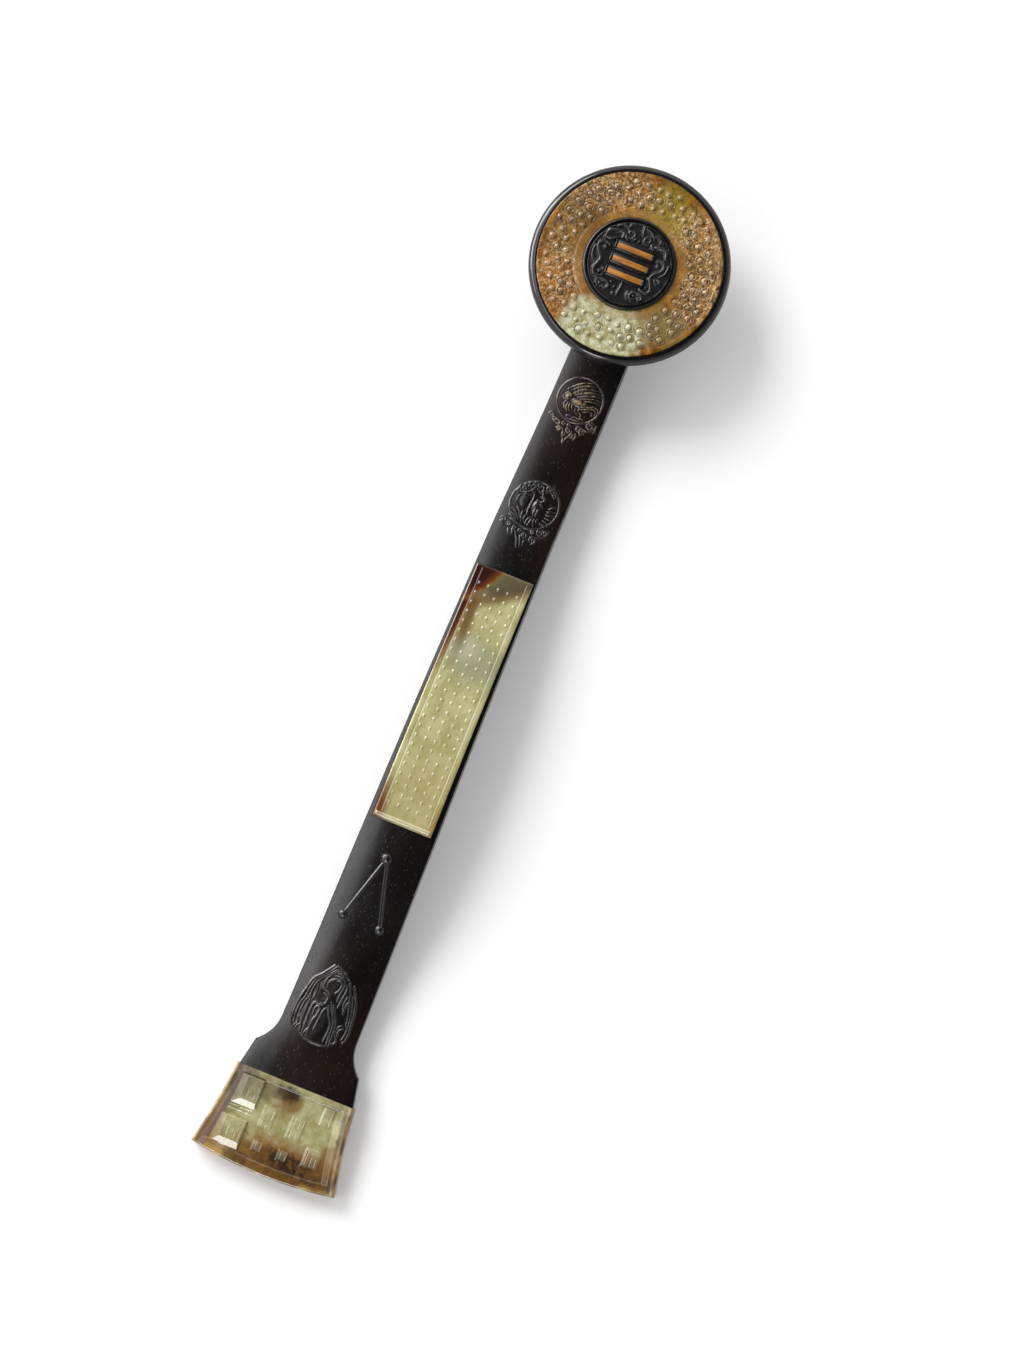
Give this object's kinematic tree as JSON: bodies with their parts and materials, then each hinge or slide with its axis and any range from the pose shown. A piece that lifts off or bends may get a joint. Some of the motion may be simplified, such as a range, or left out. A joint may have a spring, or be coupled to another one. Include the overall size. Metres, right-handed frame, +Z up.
{
  "type": "ruyi scepter",
  "caption": "Arched hardwood ruyi scepter with a flared foot, set with a jade disc in a round head, a long jade plaque in the shaft and a jade chape at the foot.",
  "frame": {"origin": "middle of the scepter's box, on the surface that it lies on", "axes": "+X along the scepter from foot to head, +Z up out of its carved face, +Y across it to the left of the picture's view"},
  "size_m": [0.42, 0.0788, 0.0289],
  "materials": {
    "zitan_wood": "satin, near-black, fine pores",
    "polished_zitan": "polished, black",
    "plain_hardwood": "unfinished",
    "russet_jade": "polished, russet brown with a pale green patch",
    "celadon_jade": "polished, yellow-green with a russet corner",
    "clouded_jade": "polished, celadon with brown clouds and amber edges",
    "ochre_inlay": "polished"
  },
  "bodies": {
    "root": {"handle": "zitan_wood", "head_dish": "polished_zitan", "jade_disc": "russet_jade", "centre_boss": "polished_zitan", "inlay_bar_upper": "ochre_inlay", "inlay_bar_middle": "ochre_inlay", "inlay_bar_lower": "ochre_inlay", "boss_peg": "plain_hardwood", "head_dowel_rear": "plain_hardwood", "head_dowel_front": "plain_hardwood", "jade_plaque": "celadon_jade", "jade_chape": "clouded_jade"}
  },
  "joints": []
}
